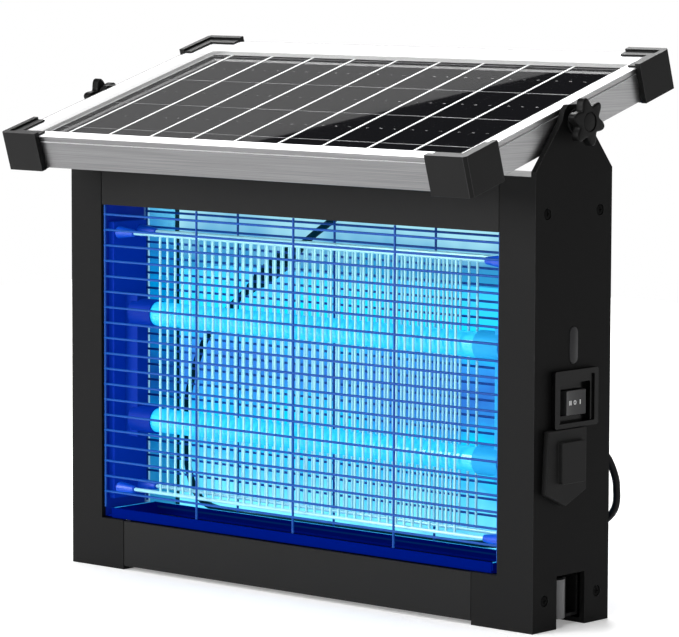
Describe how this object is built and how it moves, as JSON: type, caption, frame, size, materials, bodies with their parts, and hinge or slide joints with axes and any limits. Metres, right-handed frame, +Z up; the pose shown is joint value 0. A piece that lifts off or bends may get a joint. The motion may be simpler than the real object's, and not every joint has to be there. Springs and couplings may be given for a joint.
{
  "type": "solar bug zapper",
  "caption": "Free-standing lamp box with wire grilles and high-voltage grids between two side columns, under a tilting framed solar panel held by two star knobs.",
  "frame": {"origin": "on the ground under the middle of the object, level with the soles of the two side columns", "axes": "+X along the box towards the column with the switch, +Y towards the back, +Z up"},
  "size_m": [0.4236, 0.2082, 0.3551],
  "materials": {
    "black_shell": "matt black moulded and painted shell",
    "black_gloss": "gloss black moulding",
    "black_rubber": "soft black rubber",
    "black_steel": "blackened steel",
    "blue_wire": "coated guard wire, lit blue by the lamps",
    "bright_steel": "bright drawn rod",
    "white_plastic": "off-white insulating plastic",
    "uv_glass": "blue-glowing lamp glass",
    "aluminium": "brushed anodised extrusion",
    "solar_glass": "clear tempered glass",
    "silicon": "near-black monocrystalline cells with silver lines",
    "back_white": "white laminate",
    "board_green": "green solder mask",
    "cell_wrap": "blue shrink wrap",
    "grey_lens": "smoked grey lens",
    "grey_rocker": "dark grey rocker with white marks"
  },
  "bodies": {
    "housing": {"end_cap_left": "black_shell", "end_cap_right": "black_shell", "column_liner_left": "black_shell", "column_liner_right": "black_shell", "top_profile": "black_shell", "top_deck": "black_shell", "bottom_profile": "black_shell", "switch_block": "black_shell", "cap_screw_left_1": "black_steel", "cap_screw_left_2": "black_steel", "cap_screw_left_3": "black_steel", "cap_screw_left_4": "black_steel", "cap_screw_right_1": "black_steel", "cap_screw_right_2": "black_steel", "cap_screw_right_3": "black_steel", "cap_screw_right_4": "black_steel", "insect_chute": "white_plastic", "insulator_left": "white_plastic", "insulator_right": "white_plastic", "lamp_holder_left": "white_plastic", "lamp_holder_right": "white_plastic", "front_grille": "blue_wire", "rear_grille": "blue_wire", "front_hv_grid": "bright_steel", "rear_hv_grid": "bright_steel", "uv_tube_upper": "uv_glass", "uv_tube_lower": "uv_glass", "battery_pack": "cell_wrap", "charge_board": "board_green", "lamp_driver_board": "board_green", "hv_module": "black_gloss", "switch_bezel": "black_gloss", "charge_socket": "black_gloss", "status_lens": "grey_lens", "body_gland": "black_rubber", "solar_cable": "black_rubber", "lead_coupling": "black_rubber"},
    "tray": {"catch_tray": "black_shell"},
    "rocker": {"switch_rocker": "grey_rocker"},
    "flap": {"port_cover": "black_rubber"},
    "panel": {"frame_rail_front": "aluminium", "frame_rail_rear": "aluminium", "frame_rail_left": "aluminium", "frame_rail_right": "aluminium", "panel_glass": "solar_glass", "cell_sheet": "silicon", "back_sheet": "back_white", "corner_cap_front_left": "black_shell", "corner_cap_front_right": "black_shell", "corner_cap_rear_left": "black_shell", "corner_cap_rear_right": "black_shell", "junction_box": "black_shell", "junction_lid": "black_shell", "panel_gland": "black_rubber", "pivot_bolt_left": "black_steel", "pivot_bolt_right": "black_steel"},
    "knob_left": {"star_knob_left": "black_shell", "friction_washer_left": "black_rubber"},
    "knob_right": {"star_knob_right": "black_shell", "friction_washer_right": "black_rubber"}
  },
  "joints": [
    {"name": "panel_tilt", "type": "hinge", "parent": "housing", "child": "panel", "pos_m": [0, 0, 0.3125], "axis": [1, 0, 0], "range_deg": [-41.7, 8.3], "deforming": ["solar_cable"]},
    {"name": "knob_left_turn", "type": "hinge", "parent": "panel", "child": "knob_left", "pos_m": [-0.2, 0, 0.3125], "axis": [1, 0, 0], "continuous": true},
    {"name": "knob_right_turn", "type": "hinge", "parent": "panel", "child": "knob_right", "pos_m": [0.2, 0, 0.3125], "axis": [1, 0, 0], "continuous": true},
    {"name": "switch_rock", "type": "hinge", "parent": "housing", "child": "rocker", "pos_m": [0.193, 0, 0.1398], "axis": [0, 0, 1], "range_deg": [-8, 8]},
    {"name": "port_cover_flip", "type": "hinge", "parent": "housing", "child": "flap", "pos_m": [0.2048, -0.011, 0.1243], "axis": [0, -1, 0], "range_deg": [0, 95]},
    {"name": "tray_pull", "type": "slide", "parent": "housing", "child": "tray", "axis": [1, 0, 0], "range_m": [0, 0.34]}
  ]
}
